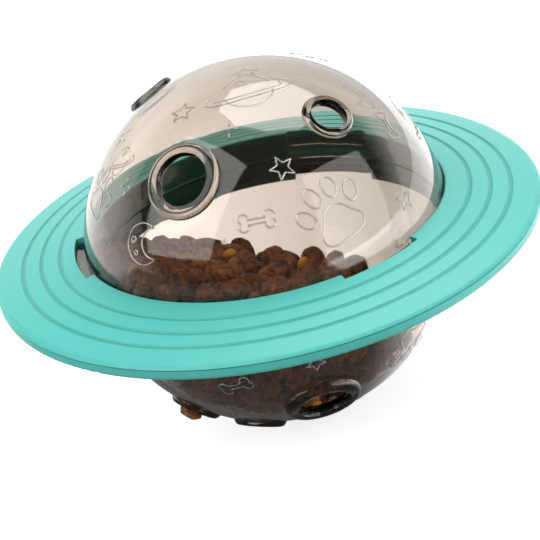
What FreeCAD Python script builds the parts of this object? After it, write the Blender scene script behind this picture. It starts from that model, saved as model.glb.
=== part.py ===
import FreeCAD, Part
import Sketcher
import math
import os

# Treat ball: two clear half shells that twist-lock into the hub of a flat ring.
# Origin at the centre of the ball, +Z up through the upper shell, millimetres.

# Driving dimensions, each with the words that explain it.
DIMENSIONS = [
    ("sphere_radius", 62.5, "outside of the ball"),
    ("shell_wall", 2.0, "wall of the moulded half shells"),
    ("neck_radius", 61.75, "outside of the straight neck below the sphere"),
    ("ledge_half", 0.8, "half thickness of the ledge between the two shells"),
    ("ledge_bore", 61.1, "bore of the ledge"),
    ("neck_lip", 1.15, "wall of the thin lip that hides the ledge inside the ball"),
    ("neck_lip_gap", 0.15, "half the gap between the lips of the two shells"),
    ("lug_radius", 65.0, "tip of a bayonet lug"),
    ("lug_top", 6.8, "height of a lug's locking face"),
    ("lug_height", 2.6, "thickness of a lug"),
    ("lug_angle", 26.0, "width of a lug round the neck"),
    ("lug_lead", 0.8, "bevel on a lug's tip"),
    ("first_lug", -57.0, "direction of the first lug and the first notch"),
    ("lug_count", 3.0, "lugs on each shell, and notches in each lip"),
    ("hub_bore", 62.15, "bore of the lips that hold the lugs"),
    ("hub_top", 9.5, "height of the hub"),
    ("lip_thickness", 2.4, "thickness of a lip"),
    ("channel_radius", 65.6, "outer wall of the channel that a lug slides in"),
    ("notch_radius", 65.2, "depth of the notches that let the lugs in"),
    ("notch_angle", 28.0, "width of a notch"),
    ("twist_angle", 30.0, "turn from open to locked"),
    ("stop_angle", 2.4, "width of the ribs that stop the lugs"),
    ("stop_gap", 1.5, "angle from a notch or a lug to the middle of a stop rib"),
    ("stop_bore", 62.4, "inner face of the stop ribs"),
    ("stop_bite", 0.3, "how deep a stop rib reaches into the walls round it"),
    ("shoulder_radius", 91.7, "where the ring's cone ends"),
    ("shoulder_height", 2.8, "half thickness of the ring there"),
    ("ring_radius", 93.8, "outside of the ring"),
    ("seam_height", 1.2, "height of the seam between the ring's halves"),
    ("seam_step", 0.2, "how far the upper half overhangs the seam"),
    ("seam_gap", 0.4, "height of the open line along the seam"),
    ("seam_depth", 0.9, "depth of that line"),
    ("rim_curve", 2.9, "radius of the rounded rim"),
    ("rim_foot", 1.1, "depth below the middle plane where the tray's rounded rim starts"),
    ("ring_wall", 2.2, "wall of the ring's mouldings"),
    ("rim_wall", 2.4, "wall of the tray's rim"),
    ("groove_one", 70.6, "radius of the first groove"),
    ("groove_two", 77.3, "radius of the second groove"),
    ("groove_three", 84.0, "radius of the third groove"),
    ("groove_round", 1.05, "radius of a groove's section"),
    ("groove_lift", 0.6, "height of that section's centre above the cone"),
    ("lip_round", 0.5, "rounding of the hub's top edge"),
    ("rib_count", 12.0, "ribs in the tray"),
    ("rib_width", 1.4, "thickness of a rib"),
    ("rib_top", 0.6, "height of a rib's top edge"),
    ("rib_offset", 7.5, "angle from the first post to the first rib"),
    ("rib_bite", 0.5, "how deep a rib's ends reach into the walls"),
    ("post_count", 6.0, "posts that join the ring's halves"),
    ("post_place", 78.0, "distance of the posts from the axis"),
    ("post_radius", 1.8, "radius of a post"),
    ("post_top", 1.8, "height of a post's tip"),
    ("boss_radius", 3.4, "radius of the bosses round the posts"),
    ("socket_radius", 1.95, "radius of the socket for a post"),
    ("socket_top", 2.4, "end of the socket"),
    ("boss_gap", 0.1, "half the gap between facing bosses"),
    ("collar_height", 1.3, "how far a port's collar stands above the sphere"),
    ("collar_flat", 0.6, "width of the collar's flat crest"),
    ("collar_bevel", 1.2, "width of the bevel inside the crest"),
    ("collar_drop", 0.9, "depth of that bevel"),
    ("collar_round", 2.6, "radius of the collar's rounded shoulder"),
    ("tube_wall", 1.7, "wall of the tube inside a port"),
    ("tube_depth", 3.7, "how far the tube reaches below the sphere"),
    ("tube_taper", 0.5, "narrowing of a port towards its inner end"),
    ("large_port", 9.0, "radius of a large port's mouth"),
    ("large_collar", 13.3, "radius of its collar's foot"),
    ("small_port", 6.2, "radius of a small port's mouth"),
    ("small_collar", 9.2, "radius of its collar's foot"),
    ("overrun", 1.0, "how far a cut or an added solid runs past the face that it meets"),
]

# Ports of each shell: size, latitude above the neck, longitude about the shell's own axis.
PORTS = {
    "upper_shell": [("large", 45.5, -122.5), ("small", 53.5, -42.0), ("small", 53.0, 139.0)],
    "lower_shell": [("large", 41.5, 82.6), ("small", 50.0, 155.0), ("small", 63.0, 125.0)],
}
for shell, ports in PORTS.items():
    for number, (kind, latitude, longitude) in enumerate(ports, start=1):
        cell = f"{shell}_port_{number}"
        DIMENSIONS.append((f"{cell}_latitude", latitude, "angle of this port above the neck"))
        DIMENSIONS.append((f"{cell}_longitude", longitude, "its direction about the shell's axis"))

# Millimetres within which two places count as the same.
CLOSE = 0.01

# Heights and radii that follow from the driving dimensions, as sheet formulas.
CONE_SLOPE = "(size.hub_top - size.shoulder_height) / (size.shoulder_radius - size.hub_bore)"
WALL_DROP = f"size.ring_wall * sqrt(1 + ({CONE_SLOPE})^2)"
HUB_WALL = "(size.channel_radius + size.ring_wall)"
LIP_UNDERSIDE = "(size.hub_top - size.lip_thickness)"
NECK_BORE = "(size.neck_radius - size.shell_wall)"
SPHERE_BORE = "(size.sphere_radius - size.shell_wall)"


def cone_height(radius):
    """Height of the ring's cone at a radius."""
    return f"(size.hub_top - ({radius} - size.hub_bore) * ({CONE_SLOPE}))"


def cone_inside(radius):
    """Height of the inner face under the cone at a radius."""
    return f"({cone_height(radius)} - {WALL_DROP})"


def below(formula):
    """The same height below the ball's middle plane."""
    return f"-1 * ({formula})"


doc = FreeCAD.newDocument("treat_ball")
sheet = doc.addObject("Spreadsheet::Sheet", "size")
for row, (alias, value, words) in enumerate(DIMENSIONS, start=1):
    sheet.set(f"A{row}", words)
    sheet.set(f"B{row}", str(value))
    sheet.setAlias(f"B{row}", alias)
doc.recompute()


def origin_feature(body, role):
    """One of a body's own origin planes or axes."""
    return next(item for item in body.Origin.OriginFeatures if item.Role == role)


def new_body(label):
    body = doc.addObject("PartDesign::Body", label)
    body.Label = label
    return body


def new_sketch(body, name, plane="XZ_Plane", turn=None, tilt=None, height=None):
    """A sketch on a plane of the body, turned about Z and tilted away from it by sheet formulas."""
    sketch = body.newObject("Sketcher::SketchObject", name)
    sketch.AttachmentSupport = [(origin_feature(body, plane), "")]
    sketch.MapMode = "FlatFace"
    if turn is not None:
        rotation = f"rotation(vector(0; 1; 0); {turn})"
        if tilt is not None:
            rotation += f" * rotation(vector(0; 0; 1); {tilt})"
        sketch.setExpression("AttachmentOffset", f"placement(vector(0; 0; 0); {rotation})")
    if height is not None:
        sketch.setExpression("AttachmentOffset.Base.z", height)
    return sketch


def place_point(sketch, item, end, across, up):
    """Bind a point of the sketch to two formulas, measured from the sketch's origin."""
    for kind, axis, formula in (("DistanceX", -2, across), ("DistanceY", -1, up)):
        value = float(sketch.evalExpression(formula))
        if abs(value) < CLOSE:
            sketch.addConstraint(Sketcher.Constraint("PointOnObject", item, end, axis))
            continue
        index = sketch.addConstraint(Sketcher.Constraint(kind, -1, 1, item, end, value))
        sketch.setExpression(f"Constraints[{index}]", formula)


def arc_between(start, end, radius):
    """The short arc from start to end: a positive radius turns left, a negative one right."""
    chord = end - start
    rise = math.sqrt(max(radius ** 2 - (chord.Length / 2) ** 2, 0.0))
    side = FreeCAD.Vector(-chord.y, chord.x, 0).normalize() * math.copysign(rise, radius)
    centre = (start + end) * 0.5 + side
    first, last = (start, end) if radius > 0 else (end, start)
    circle = Part.Circle(centre, FreeCAD.Vector(0, 0, 1), abs(radius))
    angles = [math.atan2(point.y - centre.y, point.x - centre.x) for point in (first, last)]
    if angles[1] < angles[0]:
        angles[1] += 2 * math.pi
    return Part.ArcOfCircle(circle, angles[0], angles[1])


def outline(sketch, corners, arcs=None):
    """A closed outline through corners, each a pair of formulas across and up.

    arcs maps a corner's number to a side (+1 left, -1 right) and a formula for the radius of
    the arc that leaves that corner. All other edges are straight.
    """
    arcs = arcs or {}
    points = []
    for across, up in corners:
        place = [float(sketch.evalExpression(formula)) for formula in (across, up)]
        points.append(FreeCAD.Vector(place[0], place[1], 0))
    starts, ends = [], []
    for number, start in enumerate(points):
        end = points[(number + 1) % len(points)]
        if number in arcs:
            side, formula = arcs[number]
            radius = side * float(sketch.evalExpression(formula))
            item = sketch.addGeometry(arc_between(start, end, radius))
            starts.append((item, 1 if side > 0 else 2))
            ends.append((item, 2 if side > 0 else 1))
            index = sketch.addConstraint(Sketcher.Constraint("Radius", item, abs(radius)))
            sketch.setExpression(f"Constraints[{index}]", formula)
        else:
            item = sketch.addGeometry(Part.LineSegment(start, end))
            starts.append((item, 1))
            ends.append((item, 2))
    for number, (item, end) in enumerate(ends):
        following = starts[(number + 1) % len(starts)]
        sketch.addConstraint(Sketcher.Constraint("Coincident", item, end, *following))
    for (item, end), (across, up) in zip(starts, corners):
        place_point(sketch, item, end, across, up)


def circle(sketch, across, up, radius):
    """A circle bound to formulas for its centre and radius."""
    place = [float(sketch.evalExpression(formula)) for formula in (across, up, radius)]
    centre = FreeCAD.Vector(place[0], place[1], 0)
    item = sketch.addGeometry(Part.Circle(centre, FreeCAD.Vector(0, 0, 1), place[2]))
    index = sketch.addConstraint(Sketcher.Constraint("Radius", item, place[2]))
    sketch.setExpression(f"Constraints[{index}]", radius)
    place_point(sketch, item, 3, across, up)


def turned(body, kind, name, sketch, angle=None):
    """A revolved feature about the sketch's upright axis: a full turn, or angle each way."""
    feature = body.newObject(f"PartDesign::{kind}", name)
    feature.Profile = sketch
    feature.ReferenceAxis = (sketch, ["V_Axis"])
    feature.Angle = 360
    if angle is not None:
        feature.Midplane = True
        feature.setExpression("Angle", angle)
    sketch.Visibility = False
    doc.recompute()
    return feature


def padded(body, name, sketch, length, both_ways=False):
    """A sketch padded by a formula."""
    feature = body.newObject("PartDesign::Pad", name)
    feature.Profile = sketch
    feature.Midplane = both_ways
    feature.setExpression("Length", length)
    doc.recompute()
    return feature


def pocketed(body, name, sketch, depth):
    """A sketch cut upwards into the body by a formula."""
    feature = body.newObject("PartDesign::Pocket", name)
    feature.Profile = sketch
    feature.Reversed = True
    feature.setExpression("Length", depth)
    doc.recompute()
    return feature


def repeated(body, name, feature, count):
    """The feature repeated evenly about Z, a formula giving how many."""
    pattern = body.newObject("PartDesign::PolarPattern", name)
    pattern.Originals = [feature]
    pattern.Axis = (origin_feature(body, "Z_Axis"), [""])
    pattern.Angle = 360
    pattern.setExpression("Occurrences", count)
    body.Tip = pattern
    doc.recompute()
    return pattern


def rounded(body, name, feature, radius, edges):
    """Fillet named edges of the last feature by a formula."""
    fillet = body.newObject("PartDesign::Fillet", name)
    fillet.Base = (feature, edges)
    fillet.setExpression("Radius", radius)
    doc.recompute()
    return fillet


def ring_edges(feature, radius, height):
    """Names of the feature's round edges of one radius at one height."""
    names = []
    for number, edge in enumerate(feature.Shape.Edges, start=1):
        curve = edge.Curve
        if not isinstance(curve, Part.Circle):
            continue
        if abs(curve.Radius - radius) < CLOSE and abs(curve.Center.z - height) < CLOSE:
            names.append(f"Edge{number}")
    return names


def shell_wall(body):
    """Half sphere with a straight neck that stands on the ledge and hides it with a thin lip."""
    sketch = new_sketch(body, f"{body.Label}_section")
    neck_top = "sqrt(size.sphere_radius^2 - size.neck_radius^2)"
    neck_inside = f"sqrt({SPHERE_BORE}^2 - {NECK_BORE}^2)"
    lip_outside = f"({NECK_BORE} + size.neck_lip)"
    corners = [
        ("0", SPHERE_BORE),
        (NECK_BORE, neck_inside),
        (NECK_BORE, "size.neck_lip_gap"),
        (lip_outside, "size.neck_lip_gap"),
        (lip_outside, "size.ledge_half"),
        ("size.neck_radius", "size.ledge_half"),
        ("size.neck_radius", neck_top),
        ("0", "size.sphere_radius"),
    ]
    outline(sketch, corners, {0: (-1, SPHERE_BORE), 6: (1, "size.sphere_radius")})
    turned(body, "Revolution", f"{body.Label}_wall", sketch)


def shell_lugs(body, turn):
    """Bayonet lugs round the neck, bevelled at the tip so that they find their channel."""
    sketch = new_sketch(body, f"{body.Label}_lug_section", turn=turn)
    root = "(size.neck_radius - size.overrun)"
    lug_foot = "(size.lug_top - size.lug_height)"
    corners = [
        (root, lug_foot),
        ("(size.lug_radius - size.lug_lead)", lug_foot),
        ("size.lug_radius", f"({lug_foot} + size.lug_lead)"),
        ("size.lug_radius", "size.lug_top"),
        (root, "size.lug_top"),
    ]
    outline(sketch, corners)
    lug = turned(body, "Revolution", f"{body.Label}_lug", sketch, "size.lug_angle")
    repeated(body, f"{body.Label}_lugs", lug, "size.lug_count")


def port(body, number, kind):
    """A treat port: a crater-like collar with a short tapered tube through the wall."""
    name = f"{body.Label}_port_{number}"
    mouth = f"size.{kind}_port"
    foot = f"size.{kind}_collar"
    turn = f"size.{name}_longitude"
    tilt = f"(size.{name}_latitude - 90)"
    tube_end = "(size.sphere_radius - size.tube_depth)"
    tube_outside = f"({mouth} + size.tube_wall)"
    crest = "(size.sphere_radius + size.collar_height)"
    crest_inside = f"({mouth} + size.collar_bevel)"
    crest_outside = f"({crest_inside} + size.collar_flat)"
    foot_height = f"sqrt(size.sphere_radius^2 - ({foot})^2)"
    inside_wall = f"({foot_height} - size.overrun)"

    plug = new_sketch(body, f"{name}_plug_section", turn=turn, tilt=tilt)
    corners = [
        ("0", tube_end),
        (tube_outside, tube_end),
        (tube_outside, inside_wall),
        (foot, inside_wall),
        (foot, foot_height),
        (crest_outside, crest),
        ("0", crest),
    ]
    outline(plug, corners, {4: (1, "size.collar_round")})
    turned(body, "Revolution", f"{name}_plug", plug)

    bore = new_sketch(body, f"{name}_bore_section", turn=turn, tilt=tilt)
    mouth_height = f"({crest} - size.collar_drop)"
    inner_mouth = f"({mouth} - size.tube_taper)"
    corners = [
        ("0", f"({tube_end} - size.overrun)"),
        (inner_mouth, f"({tube_end} - size.overrun)"),
        (mouth, mouth_height),
        (crest_inside, crest),
        (crest_inside, f"({crest} + size.overrun)"),
        ("0", f"({crest} + size.overrun)"),
    ]
    outline(bore, corners)
    turned(body, "Groove", f"{name}_bore", bore)


def make_shell(label, lug_turn):
    body = new_body(label)
    shell_wall(body)
    for number, (kind, _, _) in enumerate(PORTS[label], start=1):
        port(body, number, kind)
    shell_lugs(body, lug_turn)
    return body


def cut_notches(body, sign):
    """Notches through the lip, one over each lug when the ring stands at its open turn."""
    sketch = new_sketch(body, f"{body.Label}_notch_section", turn="size.first_lug")
    heights = [f"({LIP_UNDERSIDE} - size.overrun)", "(size.hub_top + size.overrun)"]
    if sign < 0:
        heights = [below(height) for height in reversed(heights)]
    corners = [
        ("(size.hub_bore - size.overrun)", heights[0]),
        ("size.notch_radius", heights[0]),
        ("size.notch_radius", heights[1]),
        ("(size.hub_bore - size.overrun)", heights[1]),
    ]
    outline(sketch, corners)
    notch = turned(body, "Groove", f"{body.Label}_notch", sketch, "size.notch_angle")
    repeated(body, f"{body.Label}_notches", notch, "size.lug_count")


def add_stops(body, sign):
    """Ribs across the channel that stop a lug at each end of its turn."""
    turns = {
        "open": "(size.first_lug + 0.5 * size.notch_angle + size.stop_gap)",
        "locked": "(size.first_lug - size.twist_angle - 0.5 * size.lug_angle - size.stop_gap)",
    }
    heights = ["size.ledge_half", f"({LIP_UNDERSIDE} + size.stop_bite)"]
    if sign < 0:
        heights = [below(height) for height in reversed(heights)]
    for end, turn in turns.items():
        sketch = new_sketch(body, f"{body.Label}_{end}_stop_section", turn=turn)
        corners = [
            ("size.stop_bore", heights[0]),
            ("(size.channel_radius + size.stop_bite)", heights[0]),
            ("(size.channel_radius + size.stop_bite)", heights[1]),
            ("size.stop_bore", heights[1]),
        ]
        outline(sketch, corners)
        stop = turned(body, "Revolution", f"{body.Label}_{end}_stop", sketch, "size.stop_angle")
        repeated(body, f"{body.Label}_{end}_stops", stop, "size.lug_count")


def cut_grooves(body, sign):
    """Three shallow round-bottomed grooves round the ring's cone."""
    sketch = new_sketch(body, f"{body.Label}_groove_section")
    for radius in ("size.groove_one", "size.groove_two", "size.groove_three"):
        height = f"({cone_height(radius)} + size.groove_lift)"
        circle(sketch, radius, height if sign > 0 else below(height), "size.groove_round")
    turned(body, "Groove", f"{body.Label}_grooves", sketch)


def make_ring_upper():
    """The cover: a thin cone with a lip over the channel and a seat on the tray's rim."""
    body = new_body("ring_upper")
    sketch = new_sketch(body, "ring_upper_section")
    seam_end = "(size.ring_radius - size.seam_depth)"
    seam_top = "(size.seam_height + size.seam_gap)"
    seat_inside = (
        f"(size.hub_bore + (size.hub_top - {WALL_DROP} - size.seam_height) / ({CONE_SLOPE}))"
    )
    corners = [
        ("size.hub_bore", LIP_UNDERSIDE),
        ("size.channel_radius", LIP_UNDERSIDE),
        ("size.channel_radius", "size.ledge_half"),
        (HUB_WALL, "size.ledge_half"),
        (HUB_WALL, cone_inside(HUB_WALL)),
        (seat_inside, "size.seam_height"),
        (seam_end, "size.seam_height"),
        (seam_end, seam_top),
        ("size.ring_radius", seam_top),
        ("size.shoulder_radius", "size.shoulder_height"),
        ("size.hub_bore", "size.hub_top"),
    ]
    outline(sketch, corners, {8: (1, "size.rim_curve")})
    cover = turned(body, "Revolution", "ring_upper_cover", sketch)
    lip = ring_edges(cover, sheet.hub_bore, sheet.hub_top)
    rounded(body, "ring_upper_lip_round", cover, "size.lip_round", lip)
    cut_grooves(body, 1)
    cut_notches(body, 1)
    add_stops(body, 1)

    boss = new_sketch(body, "ring_upper_boss_section", plane="XY_Plane", height="size.boss_gap")
    circle(boss, "size.post_place", "0", "size.boss_radius")
    boss_height = f"({cone_inside('size.post_place')} + size.overrun - size.boss_gap)"
    pad = padded(body, "ring_upper_boss", boss, boss_height)
    repeated(body, "ring_upper_bosses", pad, "size.post_count")
    socket = new_sketch(body, "ring_upper_socket_section", plane="XY_Plane")
    circle(socket, "size.post_place", "0", "size.socket_radius")
    hole = pocketed(body, "ring_upper_socket", socket, "size.socket_top")
    repeated(body, "ring_upper_sockets", hole, "size.post_count")
    return body


def make_ring_lower():
    """The tray: a thin cone with the ledge, the lower channel and the rim that carries the cover."""
    body = new_body("ring_lower")
    sketch = new_sketch(body, "ring_lower_section")
    rim_outside = "(size.ring_radius - size.seam_step)"
    rim_inside = f"({rim_outside} - size.rim_wall)"
    corners = [
        ("size.ledge_bore", below("size.ledge_half")),
        ("size.channel_radius", below("size.ledge_half")),
        ("size.channel_radius", below(LIP_UNDERSIDE)),
        ("size.hub_bore", below(LIP_UNDERSIDE)),
        ("size.hub_bore", below("size.hub_top")),
        ("size.shoulder_radius", below("size.shoulder_height")),
        (rim_outside, below("size.rim_foot")),
        (rim_outside, "size.seam_height"),
        (rim_inside, "size.seam_height"),
        (rim_inside, below(cone_inside(rim_inside))),
        (HUB_WALL, below(cone_inside(HUB_WALL))),
        (HUB_WALL, "size.ledge_half"),
        ("size.ledge_bore", "size.ledge_half"),
    ]
    outline(sketch, corners, {5: (1, "size.rim_curve")})
    tray = turned(body, "Revolution", "ring_lower_tray", sketch)
    lip = ring_edges(tray, sheet.hub_bore, -sheet.hub_top)
    rounded(body, "ring_lower_lip_round", tray, "size.lip_round", lip)
    cut_grooves(body, -1)
    cut_notches(body, -1)
    add_stops(body, -1)

    rib = new_sketch(body, "ring_lower_rib_section", turn="size.rib_offset")
    rib_inside = f"({HUB_WALL} - size.rib_bite)"
    rib_outside = f"({rim_inside} + size.rib_bite)"
    corners = [
        (rib_inside, below(f"({cone_inside(rib_inside)} + size.overrun)")),
        (rib_outside, below(f"({cone_inside(rib_outside)} + size.overrun)")),
        (rib_outside, "size.rib_top"),
        (rib_inside, "size.rib_top"),
    ]
    outline(rib, corners)
    web = padded(body, "ring_lower_rib", rib, "size.rib_width", both_ways=True)
    repeated(body, "ring_lower_ribs", web, "size.rib_count")

    foot = below(f"({cone_inside('size.post_place')} + size.overrun)")
    boss = new_sketch(body, "ring_lower_boss_section", plane="XY_Plane", height=foot)
    circle(boss, "size.post_place", "0", "size.boss_radius")
    boss_height = f"({cone_inside('size.post_place')} + size.overrun - size.boss_gap)"
    pad = padded(body, "ring_lower_boss", boss, boss_height)
    repeated(body, "ring_lower_bosses", pad, "size.post_count")
    post = new_sketch(body, "ring_lower_post_section", plane="XY_Plane", height=foot)
    circle(post, "size.post_place", "0", "size.post_radius")
    post_height = f"({cone_inside('size.post_place')} + size.overrun + size.post_top)"
    pin = padded(body, "ring_lower_post", post, post_height)
    repeated(body, "ring_lower_posts", pin, "size.post_count")
    return body


upper_shell = make_shell("upper_shell", "size.first_lug")
lower_shell = make_shell("lower_shell", "-1 * size.first_lug")
turned_over = FreeCAD.Rotation(FreeCAD.Vector(1, 0, 0), 180)
lower_shell.Placement = FreeCAD.Placement(FreeCAD.Vector(0, 0, 0), turned_over)
ring_upper = make_ring_upper()
ring_lower = make_ring_lower()
doc.recompute()

pieces = [upper_shell, lower_shell, ring_upper, ring_lower]
for item in doc.Objects:
    if "Invalid" in item.State or "Error" in item.State:
        raise RuntimeError(f"{item.Label} did not compute: {item.State}")
for piece in pieces:
    if piece.Shape.isNull() or not piece.Shape.isValid():
        raise RuntimeError(f"{piece.Label} has no valid shape")
    if len(piece.Shape.Solids) != 1:
        raise RuntimeError(f"{piece.Label} has {len(piece.Shape.Solids)} solids")

os.makedirs("parts", exist_ok=True)
for piece in pieces:
    piece.Shape.exportStep(f"parts/{piece.Label}.step")
    print(piece.Label, round(piece.Shape.Volume), "mm3", len(piece.Shape.Faces), "faces")
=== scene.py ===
# %% [markdown]
# # Treat ball
# A clear ball in two halves, locked into the hub of a flat ring. Pet food goes inside and falls
# out of the round ports as the ball rolls. This lesson models the two clear shells with their
# ports and raised motifs, gives the ring its moulded plastic, fills the ball with food, and
# lights it all like a product picture.

# %% Load the frame that all pieces are built around
import bpy
import bmesh
import math
import random
import numpy
from mathutils import Matrix, Vector, noise


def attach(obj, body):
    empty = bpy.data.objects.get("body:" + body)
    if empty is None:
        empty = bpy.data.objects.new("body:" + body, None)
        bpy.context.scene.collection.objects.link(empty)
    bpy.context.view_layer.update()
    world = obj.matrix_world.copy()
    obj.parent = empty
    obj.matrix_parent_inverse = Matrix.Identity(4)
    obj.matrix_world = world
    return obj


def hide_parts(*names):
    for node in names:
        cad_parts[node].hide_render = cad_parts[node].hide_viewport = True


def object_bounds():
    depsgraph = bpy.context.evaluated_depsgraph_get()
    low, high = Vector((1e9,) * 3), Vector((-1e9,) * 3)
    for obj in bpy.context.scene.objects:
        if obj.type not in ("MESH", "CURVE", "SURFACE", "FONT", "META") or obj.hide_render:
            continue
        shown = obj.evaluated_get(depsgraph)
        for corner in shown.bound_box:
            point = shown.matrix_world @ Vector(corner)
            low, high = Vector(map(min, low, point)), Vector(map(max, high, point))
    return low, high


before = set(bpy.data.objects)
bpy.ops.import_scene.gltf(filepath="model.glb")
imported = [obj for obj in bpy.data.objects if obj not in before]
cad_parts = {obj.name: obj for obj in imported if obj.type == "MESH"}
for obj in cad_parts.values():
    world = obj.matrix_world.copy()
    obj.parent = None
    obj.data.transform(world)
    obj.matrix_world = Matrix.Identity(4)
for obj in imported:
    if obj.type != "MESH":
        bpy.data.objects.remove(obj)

MM = 0.001
cad_box = [list(corner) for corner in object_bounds()]
print("CAD box in mm:", [[round(value / MM, 1) for value in corner] for corner in cad_box])

# %% [markdown]
# ## The camera
# The picture was taken from far away with a long lens, from 26 degrees above the ring, and the
# ball leans to one side. A long lens keeps the ball's outline round. Instead of tipping the
# object, which has to stay in its own frame, the camera is rolled by the same angle.

# %% Camera at the picture's viewing angle
BALL = 62.5 * MM
IMAGE = 540
FOCAL_PIXELS = 5000
DISTANCE = 27.03 * BALL
ELEVATION = math.radians(26.13)
ROLL = math.radians(-12.59)
# The ball's centre in the picture, in pixels from its left and from its top.
BALL_ACROSS, BALL_DOWN = 268.6, 236.8

camera_data = bpy.data.cameras.new("camera")
camera_data.sensor_width = 36
camera_data.lens = FOCAL_PIXELS / IMAGE * camera_data.sensor_width
camera = bpy.data.objects.new("camera", camera_data)
bpy.context.scene.collection.objects.link(camera)

look = Vector((0, math.cos(ELEVATION), -math.sin(ELEVATION)))
right = Vector((1, 0, 0))
down = look.cross(right)
rolled_right = math.cos(ROLL) * right - math.sin(ROLL) * down
rolled_down = math.sin(ROLL) * right + math.cos(ROLL) * down
axes = Matrix((rolled_right, -rolled_down, -look)).transposed()
sight = Vector(((BALL_ACROSS - IMAGE / 2) / FOCAL_PIXELS, (BALL_DOWN - IMAGE / 2) / FOCAL_PIXELS, 1))
sight.normalize()
place = -DISTANCE * (sight.x * rolled_right + sight.y * rolled_down + sight.z * look)
camera.matrix_world = Matrix.Translation(place) @ axes.to_4x4()
bpy.context.scene.camera = camera
bpy.context.scene.view_settings.view_transform = "Standard"
print("camera at", [round(value, 3) for value in place])

# %% [markdown]
# ## Softboxes
# A clear dome is shown by what it mirrors. Two rectangular softboxes, one at each side of the
# camera, make the pale panels on its front, and an eight-sided one above and behind makes the
# white shape near its top. Each stands in the direction that its mirror image gives: the sight
# line to a corner of the panel is mirrored on the ball, and the rectangle is fitted to those
# lines. They are as large and as bright as soft lamps are, and the camera doesn't see them.

# %% Directions on the ball, and lamps that face it
def direction(latitude, longitude):
    """Unit vector at a latitude and longitude in degrees."""
    up, turn = math.radians(latitude), math.radians(longitude)
    return Vector((math.cos(up) * math.cos(turn), math.cos(up) * math.sin(turn), math.sin(up)))


def facing_ball(latitude, longitude, distance, roll):
    """Matrix of a lamp at a direction and distance that faces the ball, rolled about that line."""
    outward = direction(latitude, longitude)
    east = Vector((0, 0, 1)).cross(outward).normalized()
    upright = Matrix((east, outward.cross(east), outward)).transposed().to_4x4()
    return Matrix.Translation(outward * distance) @ upright @ Matrix.Rotation(math.radians(roll), 4, "Z")


# %% The two softboxes in front
SOFTBOX_DISTANCE = 1.1
# Latitude, longitude and roll in degrees, width and height in metres, and radiance.
SOFTBOXES = {
    "softbox_left": (44.2, -156.4, 10.0, 1.01, 1.38, 2.05),
    "softbox_right": (16.4, -30.5, -19.7, 0.97, 1.29, 1.7),
}


def softbox(name, latitude, longitude, roll, width, height, radiance):
    """A rectangular lamp that faces the ball and shines evenly."""
    lamp = bpy.data.lights.new(name, "AREA")
    lamp.shape = "RECTANGLE"
    lamp.size, lamp.size_y = width, height
    lamp.energy = radiance * math.pi * width * height
    box = bpy.data.objects.new(name, lamp)
    box.visible_camera = False
    box.matrix_world = facing_ball(latitude, longitude, SOFTBOX_DISTANCE, roll)
    bpy.context.scene.collection.objects.link(box)
    print(name, "of", round(lamp.energy, 2), "W")


for name, sizes in SOFTBOXES.items():
    softbox(name, *sizes)


# %% Small helpers for materials
def add_node(tree, kind, inputs=None, **settings):
    """Add one node with its settings. An input is a value, a socket, or a node's first output."""
    node = tree.nodes.new(kind)
    for name, value in settings.items():
        setattr(node, name, value)
    for name, value in (inputs or {}).items():
        socket = node.inputs[name] if isinstance(name, int) else next(
            socket for socket in node.inputs if socket.name == name and socket.enabled)
        if isinstance(value, bpy.types.Node):
            value = value.outputs[0]
        if isinstance(value, bpy.types.NodeSocket):
            tree.links.new(value, socket)
        else:
            socket.default_value = value
    return node


def colour(code):
    """Linear colour of an sRGB hex code."""
    parts = [int(code[place:place + 2], 16) / 255 for place in (1, 3, 5)]
    return [c / 12.92 if c <= 0.04045 else ((c + 0.055) / 1.055) ** 2.4 for c in parts] + [1]


def new_material(name):
    """A material with an empty node tree, and that tree."""
    material = bpy.data.materials.new(name)
    material.use_nodes = True
    material.node_tree.nodes.clear()
    return material, material.node_tree


# %% The eight-sided softbox above and behind
OCTAGON_REACH = 0.50
OCTAGON_RADIANCE = 3.9
# Latitude and longitude in degrees, distance in metres, and roll.
OCTAGON_PLACE = (62, 60, 1.2, 22.5)

bpy.ops.object.select_all(action="DESELECT")
bpy.ops.mesh.primitive_circle_add(vertices=8, radius=OCTAGON_REACH, fill_type="NGON")
octagon = bpy.context.active_object
octagon.name = "softbox_back"
octagon.matrix_world = facing_ball(*OCTAGON_PLACE)
octagon.visible_camera = False
octagon.visible_shadow = False
cloth, tree = new_material("white softbox cloth")
facing = add_node(tree, "ShaderNodeNewGeometry")
# The side that faces the ball is the back of the face.
front = add_node(tree, "ShaderNodeMapRange", {
    "Value": facing.outputs["Backfacing"], "To Min": 0.0, "To Max": OCTAGON_RADIANCE})
shine = add_node(tree, "ShaderNodeEmission", {"Color": colour("#FFFFFF"), "Strength": front})
add_node(tree, "ShaderNodeOutputMaterial", {"Surface": shine})
octagon.data.materials.append(cloth)
print("eight-sided softbox", 2 * OCTAGON_REACH, "m across")

# %% [markdown]
# ## The studio
# A studio is pale near the floor and dark above it, so that the dome stays clear between the
# images of the softboxes. What is seen of it, directly, in a mirror or through clear plastic, can
# differ from what lights the object. Diffuse Depth is 0 for the first, and more for light that a
# surface has scattered, which gets a plain soft glow, stronger from above.

# %% Studio
# The pale part reaches higher behind the ball than before it, by this slope.
BACK_SLOPE = -0.62
PALE_TOP, DARK_FOOT = -0.15, 0.32
PALE, DARK = 1.5, 0.1
GLOW_BELOW, GLOW_ABOVE = 0.1, 0.36

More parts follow.
